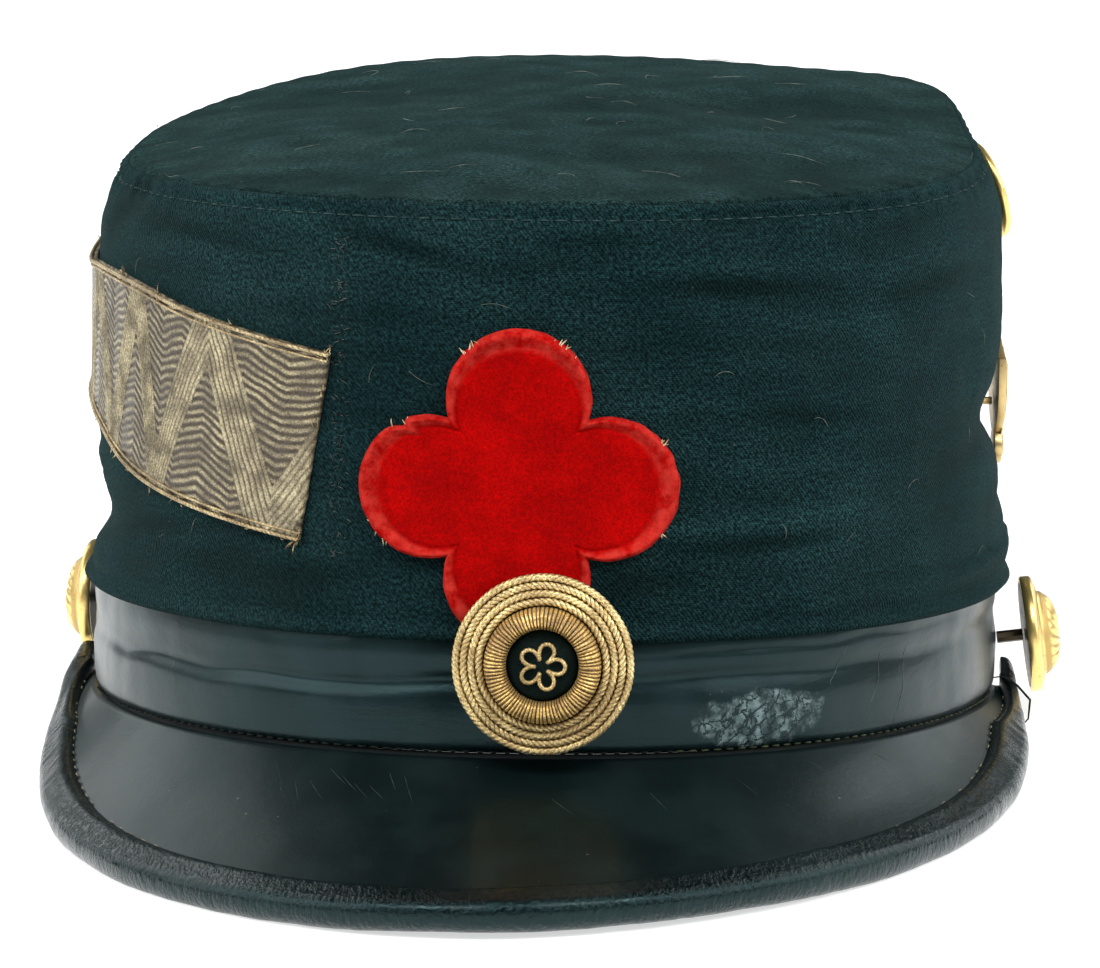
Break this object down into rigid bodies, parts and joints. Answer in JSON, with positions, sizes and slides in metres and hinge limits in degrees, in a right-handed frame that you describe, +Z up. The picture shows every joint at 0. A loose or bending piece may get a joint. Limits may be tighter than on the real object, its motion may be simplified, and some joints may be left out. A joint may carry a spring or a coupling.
{
  "type": "shako",
  "caption": "Low black cloth shako with a domed soft crown, leather band and peak, velvet ornament, gilt cockade, metal lace, side buttons and badges.",
  "frame": {"origin": "on the table, under the middle of the whole shako as it stands", "axes": "+Z up, the front looks along -Y, the wearer's left side is on +X"},
  "size_m": [0.1894, 0.2636, 0.1192],
  "materials": {
    "cloth": "woven, matt, faded",
    "cloth_top": "woven, matt, dusty",
    "band_leather": "polished, cracked",
    "peak_leather": "polished",
    "binding_leather": "polished, creased",
    "velvet": "velvet",
    "lace": "metal thread, ribbed",
    "cockade_felt": "matt",
    "gilt_cord": "twisted gilt thread",
    "gilt_bullion": "gilt bullion",
    "dark_velvet": "velvet",
    "gilt_wire": "gilt wire",
    "button_brass": "pressed, satin",
    "dark_brass": "tarnished",
    "badge_brass": "satin, speckled"
  },
  "bodies": {
    "root": {"crown_wall": "cloth", "crown_top": "cloth_top", "leather_band": "band_leather", "peak": "peak_leather", "peak_binding": "binding_leather", "front_ornament": "velvet", "side_lace": "lace", "cockade_back": "cockade_felt", "cockade_cord_1": "gilt_cord", "cockade_cord_2": "gilt_cord", "cockade_cord_3": "gilt_cord", "cockade_cord_4": "gilt_cord", "cockade_ray_ring": "gilt_bullion", "cockade_velvet_disc": "dark_velvet", "cockade_knot": "gilt_wire", "button_shell_left": "button_brass", "button_shell_right": "button_brass", "button_back_left": "dark_brass", "button_back_right": "dark_brass", "button_shank_left": "dark_brass", "button_shank_right": "dark_brass", "disc_badge": "badge_brass", "disc_badge_pin": "badge_brass", "shield_badge": "badge_brass", "shield_badge_pin": "badge_brass"}
  },
  "joints": []
}
